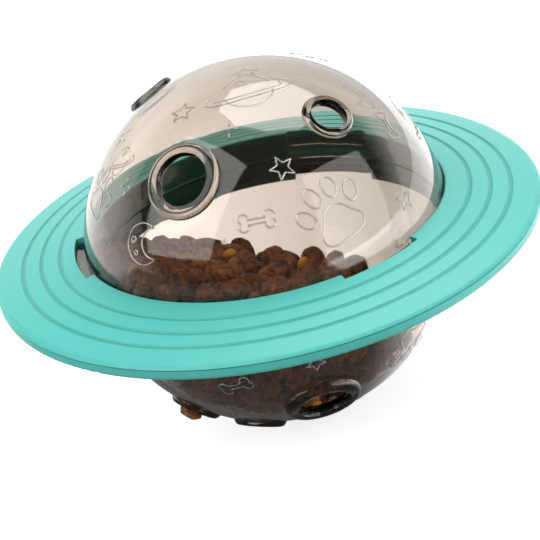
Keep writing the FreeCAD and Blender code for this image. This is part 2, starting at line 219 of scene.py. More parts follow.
studio = bpy.data.worlds.new("studio")
bpy.context.scene.world = studio
studio.use_nodes = True
sky = studio.node_tree
sky.nodes.clear()
around = add_node(sky, "ShaderNodeTexCoord")
height = add_node(sky, "ShaderNodeSeparateXYZ", {0: around.outputs["Generated"]})
wall = add_node(sky, "ShaderNodeMath", {
    0: height.outputs["Y"], 1: BACK_SLOPE, 2: height.outputs["Z"]}, operation="MULTIPLY_ADD")
seen = add_node(sky, "ShaderNodeMapRange", {
    "Value": wall, "From Min": PALE_TOP, "From Max": DARK_FOOT, "To Min": PALE, "To Max": DARK,
}, interpolation_type="SMOOTHSTEP")
glow = add_node(sky, "ShaderNodeMapRange", {
    "Value": height.outputs["Z"], "From Min": -0.2, "From Max": 0.9,
    "To Min": GLOW_BELOW, "To Max": GLOW_ABOVE})
path = add_node(sky, "ShaderNodeLightPath")
strength = add_node(sky, "ShaderNodeMix", {
    "Factor": path.outputs["Diffuse Depth"], "A": seen, "B": glow})
light = add_node(sky, "ShaderNodeBackground", {"Color": colour("#FFFFFF"), "Strength": strength})
add_node(sky, "ShaderNodeOutputWorld", {"Surface": light})
print("studio with", len(sky.nodes), "nodes")

# %% [markdown]
# ## The floor
# The picture's ground is a bright white sweep. To keep that white without more light on the
# object, the floor shines only for what looks at it: directly, through the shells, or in a mirror.
# Each way has its own strength, and the strongest one counts. These strengths paint light and
# shade: less white under the ball and where it shades the floor, more at the left, and a glow as
# of a white board for mirrors. Where Diffuse Depth is above 0 none of this shines, so the floor
# lights the object only as pale grey paint does, and it keeps the soft shadow under the ball. In
# mirrors the paint is darker, which is painted shade, as of a floor in the shade.

# %% The floor, just below the ball
FLOOR_ACROSS = 9
FLOOR_GAP = 0.2 * MM

bpy.ops.object.select_all(action="DESELECT")
bpy.ops.mesh.primitive_plane_add(size=FLOOR_ACROSS, location=(0, 0, cad_box[0][2] - FLOOR_GAP))
floor = bpy.context.active_object
floor.name = "floor"
floor_paint, tree = new_material("white studio sweep")
spot = add_node(tree, "ShaderNodeTexCoord").outputs["Object"]
side = add_node(tree, "ShaderNodeSeparateXYZ", {0: spot})
ray = add_node(tree, "ShaderNodeLightPath")
print("floor at", round(floor.location.z / MM, 2), "mm")

# %% Seen directly: white, and a little less so close under the ball, which is painted shade
reach = add_node(tree, "ShaderNodeVectorMath", {0: spot}, operation="LENGTH")
direct = add_node(tree, "ShaderNodeMapRange", {
    "Value": reach.outputs["Value"], "From Min": 20 * MM, "From Max": 110 * MM,
    "To Min": 0.8, "To Max": 1.0,
}, interpolation_type="SMOOTHSTEP")
print("nodes for the floor seen directly", len(tree.nodes))

# %% Seen through the shells: painted shadow where the ball shades the floor, and painted light brightest at the left
SHADE_CENTRE = (-25 * MM, -10 * MM, 0)
# Going through one wall crosses two surfaces, and through a closed ball four. A single wall, as
# of a lifted shell, gets less white behind it, or it wouldn't show against a white ground.
ONE_WALL, TWO_WALLS = 2.0, 4.0

from_shade = add_node(tree, "ShaderNodeVectorMath", {0: spot, 1: SHADE_CENTRE}, operation="DISTANCE")
through = add_node(tree, "ShaderNodeMapRange", {
    "Value": from_shade.outputs["Value"], "From Min": 45 * MM, "From Max": 85 * MM,
    "To Min": 0.1, "To Max": 1.0,
}, interpolation_type="SMOOTHSTEP")
across_floor = add_node(tree, "ShaderNodeMapRange", {
    "Value": side.outputs["X"], "From Min": -70 * MM, "From Max": 70 * MM, "To Min": 2.2, "To Max": 0.5})
walls = add_node(tree, "ShaderNodeMapRange", {
    "Value": ray.outputs["Transmission Depth"], "From Min": ONE_WALL, "From Max": TWO_WALLS,
    "To Min": 0.3, "To Max": 1.0})
behind = add_node(tree, "ShaderNodeMath", {0: across_floor, 1: walls}, operation="MULTIPLY")
print("nodes with the floor seen through the shells", len(tree.nodes))

# %% In mirrors, and through a shell that bends the sight: the floor glows as a white board would, behind and at the right, which is painted light
RIGHT_REACH = 1.6

rightward = add_node(tree, "ShaderNodeMath", {0: side.outputs["X"], 1: 0.0}, operation="MAXIMUM")
back = add_node(tree, "ShaderNodeMath", {
    0: rightward, 1: RIGHT_REACH, 2: side.outputs["Y"]}, operation="MULTIPLY_ADD")
mirrored = add_node(tree, "ShaderNodeMapRange", {
    "Value": back, "From Min": 0.0, "From Max": 140 * MM, "To Min": 0.04, "To Max": 1.0,
}, interpolation_type="SMOOTHSTEP")
# Painted light: the floor's glow grows to the right, as a white board's would.
beside = add_node(tree, "ShaderNodeMapRange", {
    "Value": side.outputs["X"], "From Min": -100 * MM, "From Max": 150 * MM, "To Min": 1.8, "To Max": 3.1})
in_front = add_node(tree, "ShaderNodeMapRange", {
    "Value": side.outputs["Y"], "From Min": 30 * MM, "From Max": 90 * MM, "To Min": 1.0, "To Max": 0.0})
painted_board_glow = add_node(tree, "ShaderNodeMath", {0: beside, 1: in_front}, operation="MULTIPLY")
# A ray that went through glass counts as a glossy one too, so it is taken off.
in_mirror = add_node(tree, "ShaderNodeMath", {
    0: ray.outputs["Is Glossy Ray"], 1: ray.outputs["Is Transmission Ray"],
}, operation="SUBTRACT", use_clamp=True)
print("nodes with the floor in mirrors", len(tree.nodes))

# %% Matt white floor paint: no highlight, and white for the eye alone
white = None
for way, strength, scale in ((ray.outputs["Is Camera Ray"], direct, 1.0),
                             (ray.outputs["Is Transmission Ray"], through, behind),
                             (ray.outputs["Is Transmission Ray"], mirrored, painted_board_glow),
                             (in_mirror, mirrored, beside)):
    share = add_node(tree, "ShaderNodeMath", {0: way, 1: scale}, operation="MULTIPLY")
    share = add_node(tree, "ShaderNodeMath", {0: share, 1: strength}, operation="MULTIPLY")
    if white:
        share = add_node(tree, "ShaderNodeMath", {0: share, 1: white}, operation="MAXIMUM")
    white = share
unlit = add_node(tree, "ShaderNodeMath", {
    0: ray.outputs["Diffuse Depth"], 1: 0.5}, operation="LESS_THAN")
white = add_node(tree, "ShaderNodeMath", {0: white, 1: unlit}, operation="MULTIPLY")
# Painted shade: the floor's colour is darker where a mirror shows it.
ground = add_node(tree, "ShaderNodeMix", {
    "Factor": in_mirror, "A": colour("#C8C8C7"), "B": colour("#505050")}, data_type="RGBA")
paint = add_node(tree, "ShaderNodeBsdfPrincipled", {
    "Base Color": ground.outputs[2], "Roughness": 0.9,
    "Emission Color": colour("#FFFFFF"), "Emission Strength": white,
})
add_node(tree, "ShaderNodeOutputMaterial", {"Surface": paint})
floor.data.materials.append(floor_paint)
print("floor paint with", len(tree.nodes), "nodes")

# %% [markdown]
# ## The ring's plastic
# The ring is moulded in solid turquoise ABS, with a fine satin grain from the mould. The grain
# is far too small to model, so a bump gives it: noise with grains of about a third of a
# millimetre. The two mouldings of the ring come from the CAD model as they are. In the grooves
# on top the pigment is a little deeper: painted shade, for the shade that falls in them.

# %% Where the grooves are, for their painted shade: rings at equal steps of the distance from the axis
MIDDLE_GROOVE = 77.3 * MM
GROOVE_STEP = 6.7 * MM
GROOVES_REACH = 8 * MM
GROOVE_CORE, GROOVE_EDGE = 0.5 * MM, 0.85 * MM
RING_TOP = 3 * MM

satin_plastic, tree = new_material("satin moulded ABS turquoise")
spot = add_node(tree, "ShaderNodeTexCoord").outputs["Object"]
across = add_node(tree, "ShaderNodeVectorMath", {0: spot, 1: (1, 1, 0)}, operation="MULTIPLY")
radius = add_node(tree, "ShaderNodeVectorMath", {0: across}, operation="LENGTH").outputs["Value"]
from_first = add_node(tree, "ShaderNodeMath", {
    0: radius, 1: MIDDLE_GROOVE - GROOVE_STEP}, operation="SUBTRACT")
from_groove = add_node(tree, "ShaderNodeMath", {
    0: from_first, 1: GROOVE_STEP / 2}, operation="PINGPONG")
in_groove = add_node(tree, "ShaderNodeMapRange", {
    "Value": from_groove, "From Min": GROOVE_CORE, "From Max": GROOVE_EDGE, "To Min": 1.0, "To Max": 0.0})
height = add_node(tree, "ShaderNodeSeparateXYZ", {0: spot})
on_top = add_node(tree, "ShaderNodeMath", {0: height.outputs["Z"], 1: RING_TOP}, operation="GREATER_THAN")
grooved = add_node(tree, "ShaderNodeMath", {
    0: radius, 1: MIDDLE_GROOVE, 2: GROOVES_REACH}, operation="COMPARE")
# Painted shade: this mask is 1 in the grooves on top of the ring and 0 elsewhere.
painted_groove_shade = add_node(tree, "ShaderNodeMath", {0: in_groove, 1: on_top}, operation="MULTIPLY")
painted_groove_shade = add_node(tree, "ShaderNodeMath", {0: painted_groove_shade, 1: grooved}, operation="MULTIPLY")
print("grooves at", [round((MIDDLE_GROOVE + step * GROOVE_STEP) / MM, 1) for step in (-1, 0, 1)], "mm")

# %% Satin turquoise plastic: soft broad highlights, no mirror images
GRAIN = 0.6 * MM

# Painted shade: the pigment turns a deeper turquoise in the grooves on top.
pigment_and_painted_shade = add_node(tree, "ShaderNodeMix", {
    "Factor": painted_groove_shade, "A": colour("#4FC1B7"), "B": colour("#35A89C")}, data_type="RGBA")
grain = add_node(tree, "ShaderNodeTexNoise", {
    "Vector": spot, "Scale": 1 / GRAIN, "Detail": 2.0, "Roughness": 0.6})
dimples = add_node(tree, "ShaderNodeBump", {
    "Height": grain.outputs["Fac"], "Strength": 0.25, "Distance": 0.06 * MM})
surface = add_node(tree, "ShaderNodeBsdfPrincipled", {
    "Base Color": pigment_and_painted_shade.outputs[2], "Roughness": 0.42, "IOR": 1.54, "Normal": dimples})
add_node(tree, "ShaderNodeOutputMaterial", {"Surface": surface})
for name in ("ring_upper", "ring_lower"):
    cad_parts[name].data.materials.clear()
    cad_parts[name].data.materials.append(satin_plastic)
    print(name, "in", satin_plastic.name)

# %% [markdown]
# ## The shells' plastic
# The shells are clear polycarbonate with a smoky tint. The tint is in the plastic itself, so it
# is a volume that absorbs light: a thick collar is darker than the thin wall, as on the real
# thing. Light from the lamps goes straight through a wall with the same loss, because a renderer
# finds no way for it through a bent surface. A toy collects dust, which scatters light and shows
# over the dark hub, so small specks of the surface are rough.

# %% Clear smoke plastic: sharp reflections, a warm grey tint that deepens with thickness
SPECKS_APART = 2.6 * MM

clear_plastic, tree = new_material("clear moulded polycarbonate smoke")
spot = add_node(tree, "ShaderNodeTexCoord").outputs["Object"]
dust = add_node(tree, "ShaderNodeTexVoronoi", {"Vector": spot, "Scale": 1 / SPECKS_APART})
specks = add_node(tree, "ShaderNodeMapRange", {
    "Value": dust.outputs["Distance"], "From Min": 0.03, "From Max": 0.07, "To Min": 0.5, "To Max": 0.02})
surface = add_node(tree, "ShaderNodeBsdfPrincipled", {
    "Base Color": colour("#FFFFFF"), "Roughness": specks, "IOR": 1.58, "Transmission Weight": 1.0})
lamp_light = add_node(tree, "ShaderNodeBsdfTransparent", {"Color": colour("#E4E1DD")})
path = add_node(tree, "ShaderNodeLightPath")
mixed = add_node(tree, "ShaderNodeMixShader", {
    0: path.outputs["Is Shadow Ray"], 1: surface, 2: lamp_light})
smoke = add_node(tree, "ShaderNodeVolumeAbsorption", {"Color": colour("#AC9679"), "Density": 350.0})
add_node(tree, "ShaderNodeOutputMaterial", {"Surface": mixed, "Volume": smoke})
print(clear_plastic.name, "with", len(tree.nodes), "nodes")

# %% [markdown]
# ## The clear shells
# Each shell is one moulding: a thin half sphere, a straight neck with three bayonet lugs, and
# three ports, round holes inside a raised collar. Two half spheres, one inside the other, make
# the wall. Faces are taken out where a port goes, the edge that is left is drawn onto a true
# circle, and a spun collar is bridged to the outer and the inner wall. The outside of the neck
# is extruded ring by ring, and faces of one ring are extruded into the lugs.

# %% Helpers for modelling in edit mode
# Points nearer than this are merged.
SAME_PLACE = 0.001 * MM


def only(thing):
    """Select one object and make it active."""
    bpy.ops.object.select_all(action="DESELECT")
    thing.select_set(True)
    bpy.context.view_layer.objects.active = thing


def leave_edit():
    """Go back to object mode."""
    bpy.ops.object.mode_set(mode="OBJECT")


def edit_selection(thing, kind, chosen):
    """Enter edit mode on an object with only the chosen vertices, edges or faces selected."""
    only(thing)
    bpy.ops.object.mode_set(mode="EDIT")
    bpy.ops.mesh.select_mode(type=kind)
    bpy.ops.mesh.select_all(action="DESELECT")
    sketch = bmesh.from_edit_mesh(thing.data)
    items = {"VERT": sketch.verts, "EDGE": sketch.edges, "FACE": sketch.faces}[kind]
    count = 0
    for item in items:
        if chosen(item):
            item.select_set(True)
            count += 1
    sketch.select_flush_mode()
    bmesh.update_edit_mesh(thing.data)
    return count


def bridge(thing, chosen):
    """Bridge the two open edges that the chosen edges form."""
    edit_selection(thing, "EDGE", chosen)
    bpy.ops.mesh.bridge_edge_loops()
    leave_edit()


def off_axis(point, axis):
    """Distance of a point from the line through the ball's centre along axis."""
    along = point.dot(axis)
    return (point - along * axis).length if along > 0 else math.inf


# %% Sizes of a shell, as in the CAD model
SHELL_WALL = 2.0 * MM
NECK = 61.75 * MM
NECK_TOP = math.sqrt(BALL ** 2 - NECK ** 2)
INSIDE = BALL - SHELL_WALL
NECK_INSIDE = NECK - SHELL_WALL
NECK_TOP_INSIDE = math.sqrt(INSIDE ** 2 - NECK_INSIDE ** 2)
LEDGE = 0.8 * MM
NECK_LIP = NECK_INSIDE + 1.15 * MM
NECK_LIP_GAP = 0.15 * MM
EDGE_CUT = 0.2 * MM
LUG_TIP, LUG_TOP, LUG_FOOT, LUG_BEVEL = 65.0 * MM, 6.8 * MM, 4.2 * MM, 0.8 * MM
LUG_ANGLE, LUG_SPACING, FIRST_LUG = 26.0, 120.0, -57.0
print("neck from", round(LEDGE / MM, 2), "to", round(NECK_TOP / MM, 2), "mm")

# %% Sizes of the ports
CREST = BALL + 1.3 * MM
CREST_WIDTH = 1.6 * MM
COLLAR_ROUND = 2.6 * MM
EDGE_ROUND = 0.3 * MM
# Inside the crest the bore narrows to a throat and then flares out to the inside of the wall,
# a finer form than the tube that the CAD model has there.
THROAT_HEIGHT, THROAT_STEP = BALL - 0.9 * MM, 0.5 * MM
FLARE = Vector((0.9, -2.1)).normalized()
# Radius of a port's mouth and of its collar's foot.
PORTS = {"large": (9.2 * MM, 13.3 * MM), "small": (6.3 * MM, 8.9 * MM)}
# Each port's kind, latitude above the neck and longitude about the shell's own axis.
UPPER_PORTS = [("large", 45.5, -122.5), ("small", 53.5, -42.0), ("small", 53.0, 139.0)]
LOWER_PORTS = [("large", 41.5, 82.6), ("small", 50.0, 155.0), ("small", 63.0, 125.0)]


# %% A spun outline, and a half sphere
DOME_RINGS, DOME_STEPS = 52, 288


def spun(name, profile, axis, steps):
    """Spin an outline round an axis. Its points are given as distance from and height along it."""
    side = axis.orthogonal().normalized()
    if axis.z > 0.999:
        side = Vector((1, 0, 0))
    line = bpy.data.meshes.new(name)
    points = [axis * point.y + side * point.x for point in profile]
    line.from_pydata(points, [(n, n + 1) for n in range(len(points) - 1)], [])
    piece = bpy.data.objects.new(name, line)
    bpy.context.scene.collection.objects.link(piece)
    only(piece)
    bpy.ops.object.mode_set(mode="EDIT")
    bpy.ops.mesh.select_all(action="SELECT")
    bpy.ops.mesh.spin(steps=steps, angle=2 * math.pi, center=(0, 0, 0), axis=axis)
    bpy.ops.mesh.select_all(action="SELECT")
    bpy.ops.mesh.remove_doubles(threshold=SAME_PLACE)
    leave_edit()
    return piece


def half_sphere(name, radius, cut):
    """A fine dome, from its pole down to the neck at a height."""
    last = math.acos(cut / radius)
    turns = [last * step / DOME_RINGS for step in range(DOME_RINGS + 1)]
    profile = [Vector((radius * math.sin(turn), radius * math.cos(turn))) for turn in turns]
    return spun(name, profile, Vector((0, 0, 1)), DOME_STEPS)


# %% A round hole in a dome
# Faces go whose nearest corner is within the hole's radius times this. The reaches past the
# radius then find the open edge and the vertices round it that are smoothed.
HOLE_MARGIN = 1.02
RIM_REACH, SMOOTH_REACH = 2.6 * MM, 5 * MM
SMOOTH_ROUNDS = 6


def open_hole(dome, axis, hole, radius):
    """Take out the faces round a port and draw the edge that is left onto a true circle."""
    mesh = bmesh.new()
    mesh.from_mesh(dome.data)
    reach = {vert: off_axis(vert.co, axis) for vert in mesh.verts}
    gone = [face for face in mesh.faces if min(reach[v] for v in face.verts) < hole * HOLE_MARGIN]
    bmesh.ops.delete(mesh, geom=gone, context="FACES")
    near = [v for v in mesh.verts if off_axis(v.co, axis) < hole + SMOOTH_REACH]
    rim = [v for v in near if v.is_boundary and off_axis(v.co, axis) < hole + RIM_REACH]
    lift = math.sqrt(radius ** 2 - hole ** 2)
    for vert in rim:
        away = vert.co - vert.co.dot(axis) * axis
        vert.co = axis * lift + away.normalized() * hole
    loose = [v for v in near if not v.is_boundary]
    for _ in range(SMOOTH_ROUNDS):
        bmesh.ops.smooth_vert(
            mesh, verts=loose, factor=0.5, use_axis_x=True, use_axis_y=True, use_axis_z=True)
        for vert in loose:
            vert.co = vert.co.normalized() * radius
    mesh.to_mesh(dome.data)
    mesh.free()
    return len(rim)


# %% A collar with its bore, spun round the port's axis
ROLL_STEPS, COLLAR_STEPS = 12, 120


def rounded_step(start, end, radius, steps):
    """Points of the short arc from start to end that bulges to its right."""
    chord = end - start
    rise = math.sqrt(radius ** 2 - (chord.length / 2) ** 2)
    centre = (start + end) / 2 + Vector((-chord.y, chord.x)).normalized() * rise
    first = math.atan2(start.y - centre.y, start.x - centre.x)
    turn = math.atan2(end.y - centre.y, end.x - centre.x) - first
    turn = (turn + math.pi) % (2 * math.pi) - math.pi
    spots = [first + turn * step / steps for step in range(steps + 1)]
    return [centre + radius * Vector((math.cos(a), math.sin(a))) for a in spots]


def softened(corners, radius):
    """Replace each inner corner of an open outline by three points of a small round."""
    points = [corners[0]]
    for before, corner, after in zip(corners, corners[1:], corners[2:]):
        back, ahead = (before - corner), (after - corner)
        cut = min(radius, 0.45 * back.length, 0.45 * ahead.length)
        start, end = corner + back.normalized() * cut, corner + ahead.normalized() * cut
        points += [start, (start + end + 2 * corner) / 4, end]
    return points + [corners[-1]]


def inner_edge(mouth):
    """Where a port's flare meets the inside of the wall, as distance from and height on its axis."""
    throat = Vector((mouth - THROAT_STEP, THROAT_HEIGHT))
    along = throat.dot(FLARE)
    return throat - FLARE * (along + math.sqrt(along ** 2 - throat.length_squared + INSIDE ** 2))


def spun_collar(name, axis, mouth, foot):
    """The collar's rounded roll, its flat crest and the bore with its throat."""
    foot_point = Vector((foot, math.sqrt(BALL ** 2 - foot ** 2)))
    roll = rounded_step(foot_point, Vector((mouth + CREST_WIDTH, CREST)), COLLAR_ROUND, ROLL_STEPS)
    throat = Vector((mouth - THROAT_STEP, THROAT_HEIGHT))
    corners = [roll[-1], Vector((mouth, CREST)), throat, inner_edge(mouth)]
    return spun(name, roll[:-1] + softened(corners, EDGE_ROUND), axis, COLLAR_STEPS)


# %% The neck and its lugs
def extrude_neck(shell):
    """Extrude the dome's lower edge ring by ring, down the neck and round its lip."""
    def at_bottom(edge):
        return edge.is_boundary and all(abs(v.co.z - NECK_TOP) < 0.05 * MM for v in edge.verts)

    edit_selection(shell, "EDGE", at_bottom)
    rings = [(NECK, LUG_TOP), (NECK, LUG_FOOT + LUG_BEVEL), (NECK, LUG_FOOT),
             (NECK, LEDGE + EDGE_CUT), (NECK - EDGE_CUT, LEDGE), (NECK_LIP, LEDGE),
             (NECK_LIP, NECK_LIP_GAP + EDGE_CUT), (NECK_LIP - EDGE_CUT, NECK_LIP_GAP),
             (NECK_INSIDE + EDGE_CUT, NECK_LIP_GAP), (NECK_INSIDE, NECK_LIP_GAP + EDGE_CUT)]
    for radius, height in rings:
        bpy.ops.mesh.extrude_region_move()
        sketch = bmesh.from_edit_mesh(shell.data)
        for vert in sketch.verts:
            if vert.select:
                away = Vector((vert.co.x, vert.co.y, 0)).normalized()
                vert.co = away * radius + Vector((0, 0, height))
        bmesh.update_edit_mesh(shell.data)
    leave_edit()


def extrude_lugs(shell, first):
    """Extrude faces of one ring of the neck into the lugs, the first one at an angle."""
    def on_a_lug(face):
        centre = face.calc_center_median()
        if not LUG_FOOT < centre.z < LUG_TOP or math.hypot(centre.x, centre.y) < NECK * 0.99:
            return False
        turn = math.degrees(math.atan2(centre.y, centre.x)) - first
        return abs((turn + LUG_SPACING / 2) % LUG_SPACING - LUG_SPACING / 2) < LUG_ANGLE / 2

    count = edit_selection(shell, "FACE", on_a_lug)
    bpy.ops.mesh.extrude_region_move()
    sketch = bmesh.from_edit_mesh(shell.data)
    for vert in sketch.verts:
        if vert.select:
            tip = LUG_TIP - (LUG_BEVEL if vert.co.z < LUG_FOOT + 0.01 * MM else 0)
            vert.co = Vector((vert.co.x, vert.co.y, 0)).normalized() * tip + Vector((0, 0, vert.co.z))
    bmesh.update_edit_mesh(shell.data)
    leave_edit()
    print(shell.name, "faces in its lugs", count)


# %% One clear shell, open downwards, in its own frame
# How far the holes in the two walls are wider than a collar's foot and its bore, and how wide
# the band round that edge is in which the open edges are looked for.
FOOT_BAND, BORE_BAND = 0.35 * MM, 0.25 * MM
FOOT_REACH, BORE_REACH = 0.5 * MM, 0.4 * MM
SHARP_EDGE = math.radians(32)


def open_in_band(axis, edge_radius, reach):
    """A test for open edges that lie near a port's edge, seen along the port's axis."""
    low, high = edge_radius - 0.01 * MM, edge_radius + reach
    return lambda edge: edge.is_boundary and all(low < off_axis(v.co, axis) < high for v in edge.verts)


def in_neck(edge):
    """Whether an edge is an open one at the inside of the neck."""
    return edge.is_boundary and all(
        v.co.z < NECK_TOP and math.hypot(v.co.x, v.co.y) < NECK for v in edge.verts)


def make_shell(name, ports, first_lug):
    """A wall of two half spheres with a neck, lugs and ports, closed all round."""
    shell = half_sphere(name, BALL, NECK_TOP)
    inner = half_sphere(name + "_inside", INSIDE, NECK_TOP_INSIDE)
    collars = []
    for number, (kind, latitude, longitude) in enumerate(ports, start=1):
        mouth, foot = PORTS[kind]
        axis = direction(latitude, longitude)
        rim = open_hole(shell, axis, foot + FOOT_BAND, BALL)
        inner_rim = open_hole(inner, axis, inner_edge(mouth).x + BORE_BAND, INSIDE)
        collars.append(spun_collar(f"{name}_collar_{number}", axis, mouth, foot))
        print(name, "port", number, kind, "edges", rim, inner_rim)
    extrude_neck(shell)
    extrude_lugs(shell, first_lug)
    only(shell)
    for part in [inner] + collars:
        part.select_set(True)
    bpy.ops.object.join()
    bridge(shell, in_neck)
    for kind, latitude, longitude in ports:
        mouth, foot = PORTS[kind]
        axis = direction(latitude, longitude)
        bridge(shell, open_in_band(axis, foot, FOOT_REACH))
        bridge(shell, open_in_band(axis, inner_edge(mouth).x, BORE_REACH))
    edit_selection(shell, "FACE", lambda face: True)
    bpy.ops.mesh.normals_make_consistent(inside=False)
    leave_edit()
    bpy.ops.object.shade_smooth_by_angle(angle=SHARP_EDGE)
    shell.data.materials.append(clear_plastic)
    return shell


def print_mesh(thing):
    """Say how large a mesh is and whether it is closed."""
    check = bmesh.new()
    check.from_mesh(thing.data)
    print(thing.name, "vertices", len(check.verts),
          "open edges", sum(edge.is_boundary for edge in check.edges),
          "volume mm3", round(check.calc_volume() / MM ** 3))
    check.free()


upper = make_shell("upper_shell_clear", UPPER_PORTS, FIRST_LUG)
lower = make_shell("lower_shell_clear", LOWER_PORTS, -FIRST_LUG)
print_mesh(upper)
print_mesh(lower)

# %% [markdown]
# ## Motifs
# The shells carry small line drawings as fine raised beads, which is what lines milled into a
# mould give. Here they are plain motifs that fit a pet's toy shaped like a planet: bones, paw
# prints, stars, moons and ringed planets. Each is drawn flat in millimetres as a curve with a
# round bevel, flattened to a low bead and wrapped onto the ball, half sunk in its wall. A bead
# bends the light at its two flanks, so that it reads as a thin dark and light line.

# %% Motifs as strokes in millimetres
def oval(across, up, wide, high, start=0, end=360, tilt=0):
    """Part of an ellipse as a stroke."""
    turn = math.radians(tilt)
    count = max(8, int(abs(end - start) / 8))
    stroke = []
    for step in range(count + 1):
        angle = math.radians(start + (end - start) * step / count)
        x, y = wide * math.cos(angle), high * math.sin(angle)
        stroke.append((across + x * math.cos(turn) - y * math.sin(turn),
                       up + x * math.sin(turn) + y * math.cos(turn)))
    return stroke


def bone():
    """A shaft between two ends of two round lobes each."""
    right_end = oval(4.0, 1.25, 1.5, 1.4, 200, -52) + oval(4.0, -1.25, 1.5, 1.4, 52, -200)
    left_end = [(-x, y) for x, y in right_end]
    return [right_end, left_end, [right_end[0], left_end[0]], [right_end[-1], left_end[-1]]]


def paw():
    """A soft three-cornered pad and four toes."""
    pad = []
    for step in range(33):
        angle = math.tau * step / 32
        reach = 1 + 0.16 * math.cos(3 * (angle - math.pi / 2))
        pad.append((5.4 * reach * math.cos(angle), -2.6 + 4.2 * reach * math.sin(angle)))
    toes = [(-6.6, 2.6, 28), (-2.5, 5.9, 9), (2.5, 5.9, -9), (6.6, 2.6, -28)]
    return [pad] + [oval(x, y, 1.7, 2.5, tilt=tilt) for x, y, tilt in toes]


def star():
    """Five points."""
    points = []
    for step in range(11):
        reach = 4.6 if step % 2 == 0 else 2.0
        angle = math.radians(90 + 36 * step)
        points.append((reach * math.cos(angle), reach * math.sin(angle)))
    return [points]


def moon():
    """A crescent with two craters."""
    return [oval(0, 0, 6, 6, 48, 312), oval(4.0, 0, 4.46, 4.46, 90, 270),
            oval(-3.6, 1.4, 0.9, 0.9), oval(-2.9, -2.4, 0.6, 0.6)]


def planet():
    """A disc behind a tilted ring, with one crater."""
    return [oval(0, 0, 5.6, 5.6, 28, 158), oval(0, 0, 5.6, 5.6, 196, 356),
            oval(0, 0, 10, 2.7, -212, 46, tilt=14), oval(0, 0, 7.9, 1.5, -200, 22, tilt=14),
            oval(-1.6, 2.9, 1.1, 0.9)]


def sparkle():
    """Four short rays."""
    return [[(0, 1.3), (0, 3.4)], [(0, -1.3), (0, -3.4)], [(1.3, 0), (3.0, 0)], [(-1.3, 0), (-3.0, 0)]]


# %% A flat drawing made of beads
BEAD_HALF_WIDTH = 0.30 * MM
BEAD_RISE = 0.18 * MM
# Spacing of the points along a stroke, in a motif's own millimetres.
BEAD_STEP = 0.55


def drawn_flat(strokes, turn, size):
    """The strokes as one flat curve with a round bevel, turned into a mesh."""
    curve = bpy.data.curves.new("motif", "CURVE")
    curve.dimensions = "3D"
    curve.bevel_depth = BEAD_HALF_WIDTH
    curve.bevel_resolution = 2
    curve.use_fill_caps = True
    spin = Matrix.Rotation(math.radians(turn), 3, "Z")
    for stroke in strokes:
        points = []
        for (x0, y0), (x1, y1) in zip(stroke, stroke[1:]):
            count = max(1, round(math.hypot(x1 - x0, y1 - y0) * size / BEAD_STEP))
            points += [spin @ Vector((x0 + (x1 - x0) * step / count, y0 + (y1 - y0) * step / count, 0))
                       for step in range(count)]
        last = spin @ Vector((*stroke[-1], 0))
        closed = (last - points[0]).length < 0.05
        if not closed:
            points.append(last)
        spline = curve.splines.new("POLY")
        spline.points.add(len(points) - 1)
        for place, point in zip(spline.points, points):
            place.co = (*(point * size * MM), 1)
        spline.use_cyclic_u = closed
    drawing = bpy.data.objects.new("motif", curve)
    bpy.context.scene.collection.objects.link(drawing)
    only(drawing)
    bpy.ops.object.convert(target="MESH")
    bead = bpy.context.active_object
    bpy.ops.object.mode_set(mode="EDIT")
    bpy.ops.mesh.select_all(action="SELECT")
    bpy.ops.mesh.remove_doubles(threshold=SAME_PLACE)
    leave_edit()
    return bead


# %% Lay the motifs on the shells
# Drawing, latitude, longitude, turn and size. None goes over a pole, where a bead would stand
# out past the ball's own height.
UPPER_MOTIFS = [
    (bone, 31, -93, 0, 1.1), (paw, 26, -66, 12, 1.45), (star, 45, -78, 12, 0.95),
    (planet, 77, -75, -18, 1.5), (moon, 25, -136, 10, 1.15), (sparkle, 62, -100, 0, 1.1),
    (bone, 38, -19, 60, 1.0), (star, 19, -38, -10, 0.9), (sparkle, 40, -152, 10, 1.0),
    (paw, 32, -170, -12, 1.1), (planet, 30, 5, 15, 1.2), (moon, 28, 40, 0, 1.1),
    (paw, 55, 42, 20, 1.0), (star, 45, 84, 0, 1.1),
    (star, 30, 112, 10, 1.1), (planet, 24, 143, 10, 1.0), (bone, 26, 168, 35, 1.0),
    (sparkle, 50, 180, 0, 1.1),
]
LOWER_MOTIFS = [
    (bone, 24, 112, 20, 1.1), (paw, 30, 45, -10, 1.2), (star, 19, 84, 0, 0.8),
    (moon, 41, 121, 0, 0.9), (star, 24, 140, 10, 0.8), (planet, 32, 5, 0, 1.2),
    (sparkle, 60, 58, 0, 1.1), (bone, 24, 172, -15, 1.1), (paw, 28, -147, 0, 1.1),
    (moon, 52, -110, 0, 1.2), (star, 26, -108, 0, 1.0), (bone, 46, -75, 30, 1.2),
    (planet, 57, -40, 20, 1.2), (star, 27, -34, 0, 1.0), (paw, 73, -100, 0, 1.0),
]


def add_motifs(shell, motifs):
    """Wrap the motifs onto a shell and join them to it."""
    beads = []
    for drawing, latitude, longitude, turn, size in motifs:
        bead = drawn_flat(drawing(), turn, size)
        centre = direction(latitude, longitude)
        east = Vector((0, 0, 1)).cross(centre).normalized()
        north = centre.cross(east)
        for vert in bead.data.vertices:
            across, up, rise = vert.co
            reach = math.hypot(across, up)
            away = (across * east + up * north) / max(reach, 1e-9)
            angle = reach / BALL
            height = BALL + rise * BEAD_RISE / BEAD_HALF_WIDTH
            vert.co = (math.cos(angle) * centre + math.sin(angle) * away) * height
        bead.data.materials.clear()
        bead.data.materials.append(clear_plastic)
        only(bead)
        bpy.ops.object.shade_smooth()
        beads.append(bead)
    only(shell)
    for bead in beads:
        bead.select_set(True)
    bpy.ops.object.join()
    print(shell.name, "motifs", len(motifs))
    print_mesh(shell)


add_motifs(upper, UPPER_MOTIFS)
add_motifs(lower, LOWER_MOTIFS)

